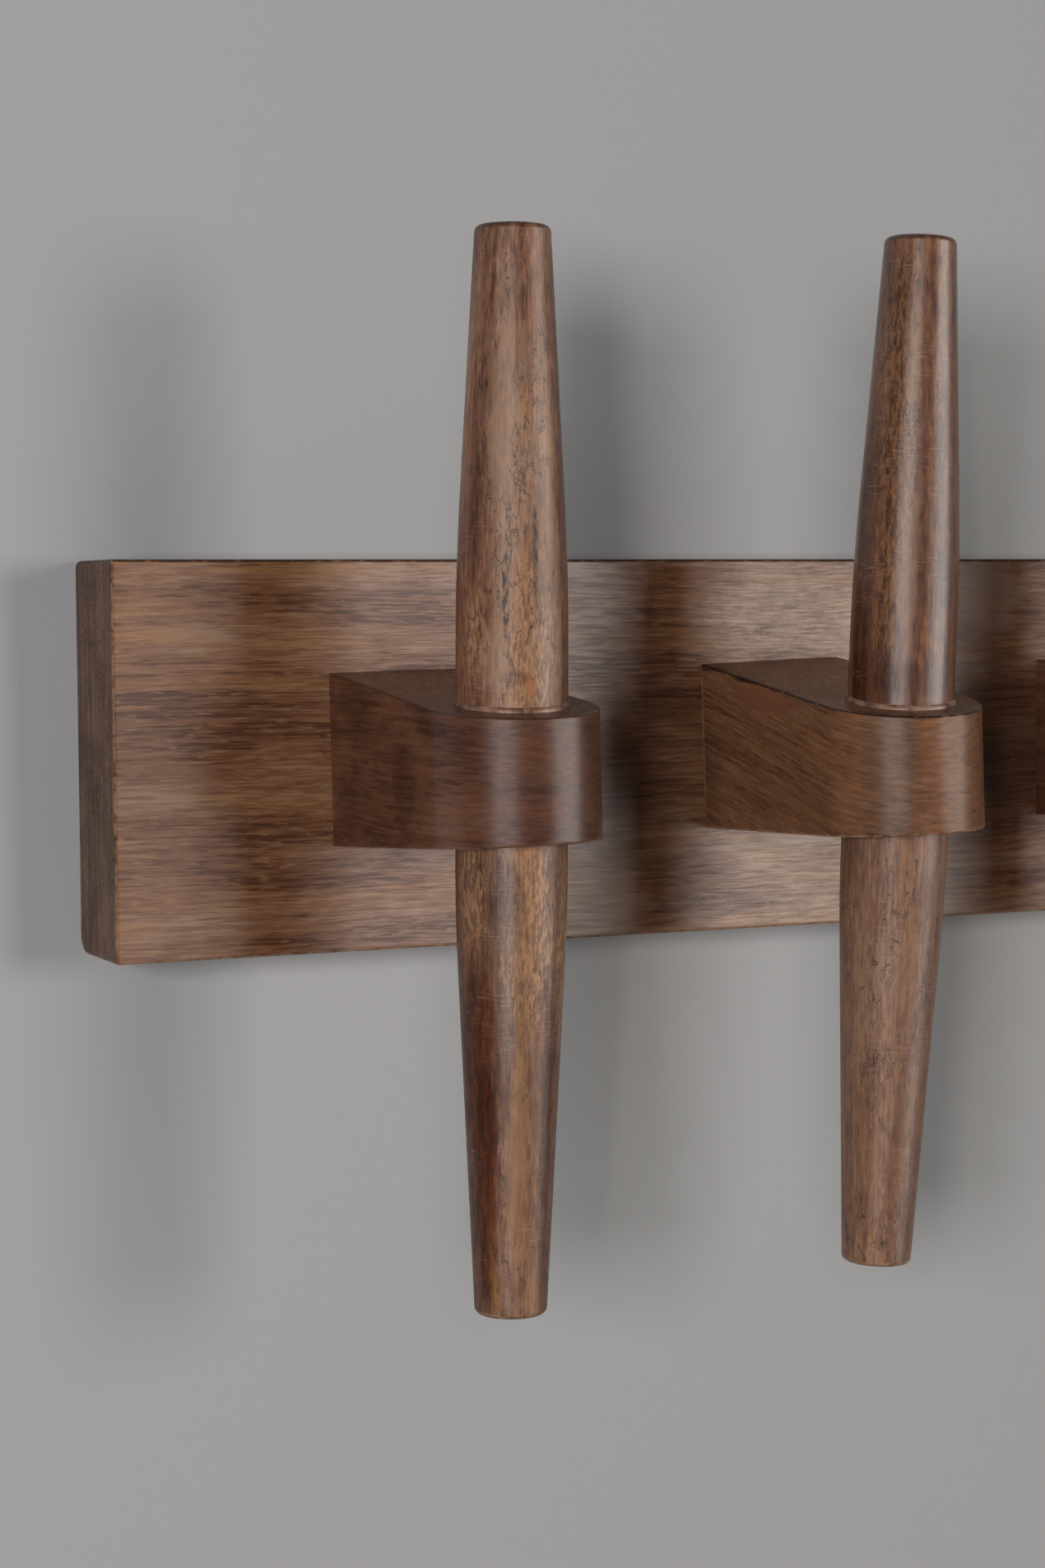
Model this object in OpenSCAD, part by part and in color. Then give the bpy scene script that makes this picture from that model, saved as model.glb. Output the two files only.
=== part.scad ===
// Wall coat rack. A timber board lies flat on the wall and carries a row of brackets,
// each with a round nose and a turned peg standing through it, tapered both ways.
// Sizes are in millimetres. The board's back lies on Y = 0 and its face looks along -Y,
// with +Z up. The origin is the centre of the board's back.

/* [Board] */
// Height of the board
board_h = 120; // [100:1:160]
// Thickness of the board
board_t = 38; // [30:1:45]
// Radius of the softened edges at the face and the ends
board_ease = 1; // [0.4:0.1:2.5]
// Radius of the upper edge that meets the wall
board_back_r = 5; // [3:0.5:10]
// Radius of the lower edge that meets the wall
board_low_back_r = 8; // [3:0.5:12]

/* [Row of pegs] */
// Number of pegs, each on a bracket of its own
peg_count = 5; // [3:1:8]
// Distance between the axes of two neighbouring pegs
peg_spacing = 128; // [100:1:180]
// Distance from the end of the board to the axis of the nearest peg
end_margin = 94; // [50:1:140]

/* [Peg] */
// Diameter of the straight seat in the middle of the peg
peg_d = 32; // [26:0.5:38]
// Diameter at the top end, before its edge is rounded
peg_top_d = 21.5; // [14:0.1:25]
// Diameter at the bottom end, before its edge is rounded
peg_bottom_d = 20.8; // [14:0.1:25]
// Length of the peg from end to end
peg_len = 309.5; // [250:0.5:360]
// Height of the shoulder, where the seat goes on straight above the bracket
peg_shoulder = 10; // [0:1:30]
// Length over which the shoulder curves into the upper taper
peg_top_blend = 44; // [20:1:80]
// Length over which the seat curves into the lower taper
peg_bottom_blend = 28; // [20:1:80]
// Radius of the rounded edge at either end
peg_end_r = 2; // [0.5:0.1:4]
// Sideways lean of the first peg in degrees, its top towards the middle
first_peg_lean = 0.5; // [0:0.1:4]
// Sideways lean of the second peg in degrees, its top towards the middle
second_peg_lean = 2.8; // [0:0.1:4]
// How much higher than the others the second peg stands in its bore
second_peg_rise = 2.6; // [0:0.1:5]
// Gap for the glue all round the seat
glue_gap = 0.1; // [0.05:0.01:0.2]

/* [Bracket] */
// Width of the bracket, and diameter of its round nose
bracket_w = 51; // [44:1:60]
// Distance from the face of the board to the axis of the peg
bracket_reach = 77; // [65:1:95]
// Height of the bracket where it meets the board
bracket_root_h = 53; // [44:1:64]
// How far the middle of that height lies below the middle of the board
bracket_drop = 0.5; // [0:0.1:4]
// How far the top falls between the board and the tip of the nose
bracket_fall = 11; // [0:0.5:14]
// How far the underside rises between the board and the tip of the nose
bracket_rise = 6.5; // [0:0.5:10]
// Width of the bevel along the top and bottom edges
bracket_ease = 0.8; // [0.3:0.1:2]
// How far the first bracket is turned in degrees, its right side up
first_bracket_turn = 1; // [0:0.1:3]

/* [Second bracket, which was cut and set by hand a little differently] */
// How much higher it sits than the others
second_bracket_lift = 1.2; // [0:0.1:3]
// How far it is turned in degrees, its right side up
second_bracket_turn = 1.8; // [0:0.1:3]
// How far its top falls
second_bracket_fall = 14.5; // [0:0.5:16]
// How far its underside rises
second_bracket_rise = 3.5; // [0:0.5:10]

/* [Screws behind each bracket] */
// Diameter of the screw
screw_d = 5; // [4:0.5:6]
// Diameter of the countersunk head
screw_head_d = 10; // [8:0.5:12]
// Length of the screw
screw_len = 70; // [56:1:80]
// Length of the pointed tip
screw_tip = 6; // [3:0.5:10]
// Distance between the upper and the lower screw
screw_spacing = 26; // [20:1:30]
// Depth of the head below the back of the board
screw_sink = 6; // [2:0.5:12]
// Gap all round the screw's thread and head where it bites
screw_fit = 0.05; // [0.02:0.01:0.1]
// Gap all round the screw where it passes through the board
screw_slack = 0.25; // [0.1:0.05:0.5]
// Gap between the head and the wall of the hole that sinks it
screw_head_room = 0.5; // [0.2:0.1:1]
// Depth of the cross in the head
cross_depth = 2; // [1:0.1:2.5]
// Width of each arm of the cross
cross_w = 1; // [0.6:0.1:1.5]

/* [Keyholes in the back] */
// Diameter of the entry hole, and width of the pocket above it
keyhole_d = 10; // [8:0.5:14]
// Width of the slot that the shank of the wall screw slides in
keyhole_slot_w = 5; // [4.2:0.1:7]
// Thickness of the lip that the head of the wall screw hooks behind
keyhole_lip = 4; // [2:0.5:6]
// Depth of the entry hole and of the pocket
keyhole_depth = 10; // [8:0.5:16]
// Distance that the rack drops onto the wall screw
keyhole_travel = 12; // [10:0.5:20]
// Distance from the top of the board down to the wall screw
keyhole_drop = 28; // [20:1:40]

/* [Hidden] */
$fn = 96;
// Overshoot of every cut past the face that it opens
over = 1;
// Steps in the curve between the seat and the taper, and in the rounded end
blend_steps = 12;
end_steps = 6;

board_l = 2 * end_margin + (peg_count - 1) * peg_spacing;
function peg_x(i) = (i - (peg_count + 1) / 2) * peg_spacing;
function lean(i) = i == 1 ? first_peg_lean : i == 2 ? second_peg_lean : 0;
function rise(i) = i == 2 ? second_peg_rise : 0;

// Bracket, measured from the face of the board to the tip of the nose
nose_r = bracket_w / 2;
bracket_len = bracket_reach + nose_r;
function lift(i) = (i == 2 ? second_bracket_lift : 0) - bracket_drop;
function turn(i) = i == 1 ? first_bracket_turn : i == 2 ? second_bracket_turn : 0;
function top_slope(i) = atan((i == 2 ? second_bracket_fall : bracket_fall) / bracket_len);
function bottom_slope(i) = atan((i == 2 ? second_bracket_rise : bracket_rise) / bracket_len);

// Peg, which sits halfway up the bracket. Its seat is as long as the bracket's root, so it fills every bore
peg_z = bracket_reach * (tan(bottom_slope(1)) - tan(top_slope(1))) / 2 - bracket_drop;
peg_y = -board_t - bracket_reach;
seat_half = bracket_root_h / 2;
peg_half = peg_len / 2;
bore_r = peg_d / 2 + glue_gap;

// Screws
screw_head_h = (screw_head_d - screw_d) / 2;
screw_reach = screw_sink + screw_len;

// Keyholes, halfway between the last two pegs at each end
keyhole_x = (peg_x(peg_count) + peg_x(peg_count - 1)) / 2;
keyhole_rest_z = board_h / 2 - keyhole_drop;

BRACKETS = [for (i = [1:peg_count]) str("bracket_", i)];
PEGS = [for (i = [1:peg_count]) str("peg_", i)];
UPPER_SCREWS = [for (i = [1:peg_count]) str("upper_screw_", i)];
LOWER_SCREWS = [for (i = [1:peg_count]) str("lower_screw_", i)];

// What a fillet of radius r takes off the corner at the origin
module corner_waste(r) {
    difference() {
        translate([-over, -over]) square(r + over);
        translate([r, r]) circle(r);
    }
}

// Rectangle from [0, 0], with a radius for its lower and its upper corner at x = 0 and one for the others
module rounded_rectangle(size, low_r, high_r, far_r) {
    difference() {
        square(size);
        corner_waste(low_r);
        translate([0, size.y]) rotate(-90) corner_waste(high_r);
        translate([size.x, 0]) rotate(90) corner_waste(far_r);
        translate(size) rotate(180) corner_waste(far_r);
    }
}

// Three crossing extrusions round every edge of the board
module board_blank() {
    intersection() {
        translate([-board_l / 2, 0, -board_h / 2]) rotate([90, 0, 90]) mirror([1, 0])
            linear_extrude(board_l)
                rounded_rectangle([board_t, board_h], board_low_back_r, board_back_r, board_ease);
        translate([-board_l / 2, 0, -board_h / 2]) rotate([90, 0, 0])
            linear_extrude(board_t) rounded_rectangle([board_l, board_h], board_ease, board_ease, board_ease);
        translate([-board_l / 2, -board_t, -board_h / 2])
            linear_extrude(board_h) rounded_rectangle([board_l, board_t], board_ease, board_ease, board_ease);
    }
}

// Upright slot, open at the back of the board, from the entry hole up to the resting place
module keyhole_slot(width, near, far) {
    entry_z = keyhole_rest_z - keyhole_travel;
    translate([0, -near, 0]) rotate([90, 0, 0]) {
        translate([0, entry_z, 0]) cylinder(d = width, h = far - near);
        translate([0, keyhole_rest_z, 0]) cylinder(d = width, h = far - near);
        translate([-width / 2, entry_z, 0]) cube([width, keyhole_travel, far - near]);
    }
}

module keyhole() {
    translate([0, over, keyhole_rest_z - keyhole_travel]) rotate([90, 0, 0])
        cylinder(d = keyhole_d, h = keyhole_depth + over);
    keyhole_slot(keyhole_slot_w, -over, keyhole_lip + over);
    keyhole_slot(keyhole_d, keyhole_lip, keyhole_depth);
}

// Heights of the two screws behind a bracket
module at_screws() {
    for (side = [-1, 1]) translate([0, 0, side * screw_spacing / 2]) children();
}

// Lies along -Y from the back of the board: sinks the head, seats its cone, passes the shank
module screw_hole() {
    rotate([90, 0, 0]) {
        translate([0, 0, -over]) cylinder(d = screw_head_d + 2 * screw_head_room, h = screw_sink + over);
        translate([0, 0, screw_sink - screw_fit])
            cylinder(d1 = screw_head_d + 2 * screw_fit, d2 = screw_d + 2 * screw_fit, h = screw_head_h + 2 * screw_fit);
        cylinder(d = screw_d + 2 * screw_slack, h = board_t + over);
    }
}

module board() {
    color("#8a6145") difference() {
        board_blank();
        for (i = [1:peg_count]) translate([peg_x(i), 0, 0]) at_screws() screw_hole();
        for (side = [-1, 1]) translate([side * keyhole_x, 0, 0]) keyhole();
    }
}

// Bevelled lid over the bracket's outline: its edge spreads downwards at 45 degrees
module bevelled_lid(slope) {
    depth = 2 * bracket_root_h;
    rim = nose_r - bracket_ease;
    reach = bracket_reach / cos(slope);
    translate([0, -reach, -depth]) cylinder(r1 = rim + depth, r2 = rim, h = depth);
    translate([0, nose_r, 0]) rotate([90, 0, 0]) linear_extrude(reach + nose_r)
        polygon([[-rim, 0], [rim, 0], [rim + depth, -depth], [-rim - depth, -depth]]);
}

// Parallel flanks and a round nose, sloped above and below, with every edge bevelled
module bracket_blank(top_slope, bottom_slope) {
    intersection() {
        translate([0, 0, -bracket_root_h / 2]) linear_extrude(bracket_root_h) {
            translate([-nose_r, -bracket_reach]) square([bracket_w, bracket_reach]);
            translate([0, -bracket_reach]) circle(nose_r);
        }
        translate([0, 0, bracket_root_h / 2]) rotate([top_slope, 0, 0]) bevelled_lid(top_slope);
        translate([0, 0, -bracket_root_h / 2]) rotate([-bottom_slope, 0, 0]) mirror([0, 0, 1])
            bevelled_lid(bottom_slope);
    }
}

// Frame of one peg, which its bore shares
module at_peg(i) {
    translate([0, peg_y, peg_z]) rotate([0, lean(i), 0]) children();
}

module bracket(i) {
    color("#6b4230") translate([peg_x(i), 0, 0]) difference() {
        translate([0, -board_t, lift(i)]) rotate([0, -turn(i), 0])
            bracket_blank(top_slope(i), bottom_slope(i));
        at_peg(i) cylinder(r = bore_r, h = 2 * bracket_root_h, center = true);
        at_screws() rotate([90, 0, 0]) translate([0, 0, board_t - over])
            cylinder(d = screw_d + 2 * screw_fit, h = screw_reach - board_t + 2 * over);
    }
}

// Half of the peg's outline, from the middle out: seat, curve, taper and rounded end
function peg_outline(seat, blend, end_d) =
    let (
        taper = atan((peg_d - end_d) / 2 / (peg_half - seat - blend / 2)),
        blend_r = taper > 0 ? blend / 2 / tan(taper / 2) : 0,
        curve = [
            for (k = [0:blend_steps]) let (a = taper * k / blend_steps)
                [peg_d / 2 - blend_r * (1 - cos(a)), seat + blend_r * sin(a)]
        ],
        end = [
            for (k = [0:end_steps]) let (a = taper + (90 - taper) * k / end_steps)
                [
                    end_d / 2 + peg_end_r * (tan(taper) - 1 / cos(taper) + cos(a)),
                    peg_half - peg_end_r * (1 - sin(a))
                ]
        ]
    )
    concat([[0, 0], [peg_d / 2, 0]], curve, end, [[0, peg_half]]);

module peg(i) {
    color("#7d5238") translate([peg_x(i), 0, 0]) at_peg(i) translate([0, 0, rise(i)]) {
        rotate_extrude() polygon(peg_outline(seat_half + peg_shoulder, peg_top_blend, peg_top_d));
        mirror([0, 0, 1]) rotate_extrude() polygon(peg_outline(seat_half, peg_bottom_blend, peg_bottom_d));
    }
}

// Countersunk wood screw with a cross in its head, drawn along +Z from the head
module screw() {
    tip_z = screw_len - screw_tip;
    difference() {
        rotate_extrude() polygon([
            [0, 0],
            [screw_head_d / 2, 0],
            [screw_d / 2, screw_head_h],
            [screw_d / 2, tip_z],
            [0, screw_len]
        ]);
        for (turn = [0, 90]) rotate(turn) translate([-screw_d / 2, -cross_w / 2, -over])
            cube([screw_d, cross_w, cross_depth + over]);
    }
}

module bracket_screw(i, side) {
    color("silver") translate([peg_x(i), -screw_sink, side * screw_spacing / 2])
        rotate([90, 0, 0]) screw();
}

board();
for (i = [1:peg_count]) {
    bracket(i);
    peg(i);
    bracket_screw(i, 1);
    bracket_screw(i, -1);
}
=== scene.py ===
"""Looks of the wall coat rack: stained and lacquered timber, photographed on a grey wall."""

import math

import bmesh
import bpy
from mathutils import Matrix, Vector


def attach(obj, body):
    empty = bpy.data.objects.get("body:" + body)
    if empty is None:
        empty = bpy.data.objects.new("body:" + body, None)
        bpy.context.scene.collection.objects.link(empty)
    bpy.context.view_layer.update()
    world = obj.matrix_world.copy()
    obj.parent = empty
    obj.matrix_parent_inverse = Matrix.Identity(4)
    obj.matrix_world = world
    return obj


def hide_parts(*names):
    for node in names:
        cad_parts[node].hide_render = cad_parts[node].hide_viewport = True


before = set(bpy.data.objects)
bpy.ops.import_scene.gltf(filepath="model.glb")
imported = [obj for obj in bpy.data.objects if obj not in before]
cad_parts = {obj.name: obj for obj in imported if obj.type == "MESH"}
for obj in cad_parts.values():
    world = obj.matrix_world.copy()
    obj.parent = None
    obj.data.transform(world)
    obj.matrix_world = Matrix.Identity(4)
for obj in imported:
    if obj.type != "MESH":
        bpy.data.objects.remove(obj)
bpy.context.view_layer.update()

MM = 0.001

# Board, in metres as the CAD has it
BOARD_T = 38 * MM
BOARD_W = 700 * MM
BOARD_H = 120 * MM
BOARD_BACK_R = 8 * MM

# Row of pegs, counted from the left
PEG_COUNT = 5
PEG_SPACING = 128 * MM

# Peg
PEG_R = 16 * MM
PEG_HALF = 154.75 * MM
PEG_ROUND = 2 * MM
UPPER_END_R = 10.75 * MM
UPPER_SEAT = 36.5 * MM
UPPER_BLEND = 44 * MM
LOWER_END_R = 10.4 * MM
LOWER_SEAT = 26.5 * MM
LOWER_BLEND = 28 * MM
PEG_LEAN = {1: math.radians(0.5), 2: math.radians(2.8)}
PEG_RISE = {2: 2.6 * MM}
GLUE_GAP = 0.1 * MM

# Bracket, measured from the face of the board. The second one was cut and set a little differently
NOSE_R = 25.5 * MM
REACH = 77 * MM
ROOT_H = 53 * MM
DROP = 0.5 * MM
FALL = 11 * MM
RISE = 6.5 * MM
SECOND_FALL = 14.5 * MM
SECOND_RISE = 3.5 * MM
SECOND_LIFT = 1.2 * MM
BRACKET_TURN = {1: math.radians(1), 2: math.radians(1.8)}
RIM = 0.8 * MM

# Bead of finish round the foot of each peg
BEAD_W = 0.7 * MM
BEAD_H = 1.5 * MM

# Screws behind each bracket
SCREW_R = 2.5 * MM
SCREW_FIT = 0.05 * MM
SCREW_SPACING = 26 * MM
SCREW_DEPTH = 39 * MM

# Facets round each curve, and how near a point lies to a plane that it is on
NOSE_STEPS = 112
BORE_STEPS = 96
PEG_STEPS = 80
BEAD_STEPS = 64
HOLE_STEPS = 24
RIM_STEPS = 4
BLEND_STEPS = 12
END_STEPS = 8
TOUCH = 1e-6

BRACKET_LEN = REACH + NOSE_R
PEG_Y = -BOARD_T - REACH
PEG_Z = REACH * (RISE - FALL) / BRACKET_LEN / 2 - DROP


def peg_x(number):
    return (number - (PEG_COUNT + 1) / 2) * PEG_SPACING


def along_rack(number):
    return Matrix.Translation((peg_x(number), 0, 0))


def bore_frame(number):
    """Middle and lean of a bracket's bore, from the middle of the bracket's root."""
    return Matrix.Translation((0, PEG_Y, PEG_Z)) @ Matrix.Rotation(PEG_LEAN.get(number, 0.0), 4, "Y")


def bracket_frame(number):
    """How a bracket sits behind its peg: lifted and turned a little, as it was screwed on."""
    lift = (SECOND_LIFT if number == 2 else 0.0) - DROP
    return Matrix.Translation((0, 0, lift)) @ Matrix.Rotation(-BRACKET_TURN.get(number, 0.0), 4, "Y")


def bracket_slopes(number):
    """How steeply a bracket's top and its underside run towards the nose."""
    if number == 2:
        return SECOND_FALL / BRACKET_LEN, SECOND_RISE / BRACKET_LEN
    return FALL / BRACKET_LEN, RISE / BRACKET_LEN


# Meshes

SHARP_ANGLE = math.radians(40)
LARGE_FACE = 100 * MM * MM


def finish(bm, name, place, planes=()):
    """Closes a bmesh, puts it in place and makes an object. Faces on one of the planes are shaded flat."""
    bmesh.ops.remove_doubles(bm, verts=bm.verts, dist=TOUCH)
    bmesh.ops.recalc_face_normals(bm, faces=bm.faces)
    for face in bm.faces:
        face.smooth = not any(all(on_plane(v.co) for v in face.verts) for on_plane in planes)
    for edge in bm.edges:
        edge.smooth = edge.calc_face_angle(0.0) < SHARP_ANGLE
    bmesh.ops.transform(bm, matrix=place, verts=bm.verts)
    return finish_open(bm, name)


def finish_open(bm, name):
    mesh = bpy.data.meshes.new(name)
    bm.to_mesh(mesh)
    bm.free()
    piece = bpy.data.objects.new(name, mesh)
    bpy.context.scene.collection.objects.link(piece)
    return piece


def edges_of(result):
    return [part for part in result["geom"] if isinstance(part, bmesh.types.BMEdge)]


def verts_of(result):
    return [part for part in result["geom"] if isinstance(part, bmesh.types.BMVert)]


def open_edges(bm, near):
    """The open edges whose ends both pass the test near."""
    return [e for e in bm.edges if len(e.link_faces) < 2 and all(near(v.co) for v in e.verts)]


def tube(bm, matrix, radius, depth, segments):
    """Open tube along +Z of matrix."""
    ring = bmesh.ops.create_circle(bm, segments=segments, radius=radius, cap_ends=False, matrix=matrix)
    edges = list({e for v in ring["verts"] for e in v.link_edges})
    drawn = bmesh.ops.extrude_edge_only(bm, edges=edges)
    bmesh.ops.translate(bm, verts=verts_of(drawn), vec=matrix.to_3x3() @ Vector((0, 0, depth)))
    return edges_of(drawn), ring["verts"] + edges + drawn["geom"]


def turned(bm, outline, steps):
    """Spins an outline of (radius, height) pairs round Z."""
    verts = [bm.verts.new((r, 0.0, z)) for r, z in outline]
    edges = [bm.edges.new(pair) for pair in zip(verts, verts[1:])]
    bmesh.ops.spin(
        bm, geom=verts + edges, cent=(0, 0, 0), axis=(0, 0, 1), angle=math.tau, steps=steps, use_merge=True
    )


def half_outline(seat, blend, end_r):
    """Half of the peg's outline from the middle out: seat, curve, taper and rounded end."""
    taper = math.atan((PEG_R - end_r) / (PEG_HALF - seat - blend / 2))
    blend_r = blend / 2 / math.tan(taper / 2)
    points = []
    for step in range(BLEND_STEPS + 1):
        a = taper * step / BLEND_STEPS
        points.append((PEG_R - blend_r * (1 - math.cos(a)), seat + blend_r * math.sin(a)))
    for step in range(END_STEPS + 1):
        a = taper + (math.pi / 2 - taper) * step / END_STEPS
        radius = end_r + PEG_ROUND * (math.tan(taper) - 1 / math.cos(taper) + math.cos(a))
        points.append((radius, PEG_HALF - PEG_ROUND * (1 - math.sin(a))))
    points.append((0.0, PEG_HALF))
    return points


def make_peg(number):
    bm = bmesh.new()
    upper = half_outline(UPPER_SEAT, UPPER_BLEND, UPPER_END_R)
    lower = half_outline(LOWER_SEAT, LOWER_BLEND, LOWER_END_R)
    turned(bm, [(r, -z) for r, z in reversed(lower)] + [(PEG_R, 0.0)] + upper, PEG_STEPS)
    rise = Matrix.Translation((0, 0, PEG_RISE.get(number, 0.0)))
    return finish(bm, f"turned_peg_{number}", along_rack(number) @ bore_frame(number) @ rise)


def bracket_faces(number):
    """Tests for the points on a bracket's top, underside, root and flanks, in the bracket's own frame."""
    fall, rise = bracket_slopes(number)
    return (
        lambda point: abs(point.z - ROOT_H / 2 - (point.y + BOARD_T) * fall) < TOUCH,
        lambda point: abs(point.z + ROOT_H / 2 + (point.y + BOARD_T) * rise) < TOUCH,
        lambda point: abs(point.y + BOARD_T) < TOUCH,
        lambda point: abs(point.x + NOSE_R) < TOUCH,
        lambda point: abs(point.x - NOSE_R) < TOUCH,
    )


def cut_slopes(bm, parts, number):
    """Cuts what lies above the bracket's top and below its underside."""
    for slope, side in zip(bracket_slopes(number), (1, -1)):
        cut = bmesh.ops.bisect_plane(
            bm,
            geom=parts,
            plane_co=(0, -BOARD_T, side * ROOT_H / 2),
            plane_no=(0, -slope, side),
            clear_outer=True,
        )
        parts = [part for part in cut["geom"] if part.is_valid]


def bracket_shell(number):
    """Flanks, round nose, top and underside, with the rims of both rounded."""
    bm = bmesh.new()
    on_top, on_underside, on_root = bracket_faces(number)[:3]
    nose = Matrix.Translation((0, PEG_Y, -ROOT_H))
    bmesh.ops.create_circle(bm, segments=NOSE_STEPS, radius=NOSE_R, cap_ends=False, matrix=nose)
    back = [v for v in bm.verts if v.co.y > PEG_Y + TOUCH]
    bmesh.ops.delete(bm, geom=back, context="VERTS")
    ends = [v for v in bm.verts if abs(v.co.y - PEG_Y) < TOUCH]
    roots = bmesh.ops.extrude_vert_indiv(bm, verts=ends)["verts"]
    bmesh.ops.translate(bm, verts=roots, vec=(0, REACH, 0))
    bm.edges.new(roots)
    walls = bmesh.ops.extrude_edge_only(bm, edges=bm.edges[:])
    bmesh.ops.translate(bm, verts=verts_of(walls), vec=(0, 0, 2 * ROOT_H))
    cut_slopes(bm, bm.verts[:] + bm.edges[:] + bm.faces[:], number)
    bmesh.ops.holes_fill(bm, edges=[e for e in bm.edges if e.is_boundary], sides=0)
    rims = [
        e
        for e in bm.edges
        if (all(on_top(v.co) for v in e.verts) or all(on_underside(v.co) for v in e.verts))
        and not all(on_root(v.co) for v in e.verts)
    ]
    bmesh.ops.bevel(
        bm, geom=rims, offset=RIM, offset_type="OFFSET", affect="EDGES",
        segments=RIM_STEPS, profile=0.5, material=-1, clamp_overlap=True,
    )
    return bm


def make_bracket(number):
    """Opens the top, underside and root of a shell, and closes them again round the bore and the holes."""
    bm = bracket_shell(number)
    planes = bracket_faces(number)
    on_top, on_underside, on_root = planes[:3]
    place = bracket_frame(number)
    bm.normal_update()
    opened = [f for f in bm.faces if f.calc_area() > LARGE_FACE and abs(f.normal.x) < 0.5]
    bmesh.ops.delete(bm, geom=opened, context="FACES_ONLY")
    peg = place.inverted() @ bore_frame(number)
    _, bore = tube(bm, peg @ Matrix.Translation((0, 0, -ROOT_H)), PEG_R + GLUE_GAP, 2 * ROOT_H, BORE_STEPS)
    cut_slopes(bm, bore, number)
    for near in (on_top, on_underside):
        bmesh.ops.triangle_fill(bm, edges=open_edges(bm, near), use_beauty=True, use_dissolve=False)
    for side in (-1, 1):
        at_screw = Matrix.Translation((0, -BOARD_T, side * SCREW_SPACING / 2))
        hole = place.inverted() @ at_screw @ Matrix.Rotation(math.pi / 2, 4, "X")
        far, _ = tube(bm, hole, SCREW_R + SCREW_FIT, SCREW_DEPTH, HOLE_STEPS)
        bmesh.ops.holes_fill(bm, edges=far, sides=0)
    bmesh.ops.triangle_fill(bm, edges=open_edges(bm, on_root), use_beauty=True, use_dissolve=False)
    return finish(bm, f"round_nosed_bracket_{number}", along_rack(number) @ place, planes)


def make_bead(number):
    """Bead of finish that dried round the foot of a peg, on the slope of the bracket's top."""
    bm = bmesh.new()
    crown = ((1, 0.25), (0.75, 0.6), (0.3, 0.9), (-0.4, 1), (-2, 1))
    outline = [(-2 * BEAD_W, -BEAD_W), (BEAD_W, -BEAD_W)]
    outline += [(across * BEAD_W, up * BEAD_H) for across, up in crown]
    outline.append(outline[0])
    turned(bm, [(PEG_R + r, z) for r, z in outline], BEAD_STEPS)
    fall, _ = bracket_slopes(number)
    peg = bracket_frame(number).inverted() @ bore_frame(number)
    along = peg.to_3x3() @ Vector((0, 0, 1))
    up = (ROOT_H / 2 - REACH * fall - peg.translation.z) / along.z
    foot = Matrix.Translation(peg.translation + along * up)
    shear = Matrix(((1, 0, 0, 0), (0, 1, 0, 0), (0, fall, 1, 0), (0, 0, 0, 1)))
    return finish(bm, f"finish_bead_{number}", along_rack(number) @ bracket_frame(number) @ foot @ shear)


# Node trees


def add(tree, kind, values=None, **settings):
    """Adds a node. Values are its inputs by name or number, each a number, a colour or a socket."""
    node = tree.nodes.new("ShaderNode" + kind)
    for name, value in settings.items():
        setattr(node, name, value)
    fill(tree, node, values or {})
    return node


def fill(tree, node, values):
    for key, value in values.items():
        if isinstance(value, bpy.types.NodeSocket):
            tree.links.new(value, node.inputs[key])
        else:
            node.inputs[key].default_value = value


def calc(tree, operation, first, second=0.0, third=0.0):
    return add(tree, "Math", {0: first, 1: second, 2: third}, operation=operation).outputs[0]


def times(tree, first, second):
    return calc(tree, "MULTIPLY", first, second)


def remap(tree, value, low, high, to_low=0.0, to_high=1.0):
    """Clamped, smooth change of range."""
    values = {"Value": value, "From Min": low, "From Max": high, "To Min": to_low, "To Max": to_high}
    return add(tree, "MapRange", values, interpolation_type="SMOOTHSTEP").outputs["Result"]


def centred(tree, value, spread):
    """Brings the values within the spread of one half to between -0.5 and 0.5."""
    return remap(tree, value, 0.5 - spread, 0.5 + spread, -0.5, 0.5)


def blend(tree, factor, first, second, kind="MIX"):
    node = add(tree, "Mix", None, data_type="RGBA", blend_type=kind)
    fill(tree, node, {0: factor, 6: first, 7: second})
    return node.outputs[2]


def vector_calc(tree, operation, first, second):
    return add(tree, "VectorMath", {0: first, 1: second}, operation=operation).outputs[0]


def noise(tree, vector, scale, detail=2.0):
    return add(tree, "TexNoise", {"Vector": vector, "Scale": scale, "Detail": detail}).outputs["Fac"]


def stretched_noise(tree, vector, length, width, detail=2.0, rough=0.55):
    """Noise drawn out along X. Length and width are its grain size in millimetres."""
    drawn = vector_calc(tree, "MULTIPLY", vector, (1 / length, 1 / width, 1 / width))
    values = {"Vector": drawn, "Scale": 1.0, "Detail": detail, "Roughness": rough}
    return add(tree, "TexNoise", values).outputs["Fac"]


def new_group(name, inputs, outputs):
    tree = bpy.data.node_groups.new(name, "ShaderNodeTree")
    for label, kind, value in inputs:
        socket = tree.interface.new_socket(label, in_out="INPUT", socket_type="NodeSocket" + kind)
        if value is not None:
            socket.default_value = value
    for label, kind in outputs:
        tree.interface.new_socket(label, in_out="OUTPUT", socket_type="NodeSocket" + kind)
    return tree, tree.nodes.new("NodeGroupInput"), tree.nodes.new("NodeGroupOutput")


def use(tree, group, values):
    node = tree.nodes.new("ShaderNodeGroup")
    node.node_tree = group
    fill(tree, node, values)
    return node


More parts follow.
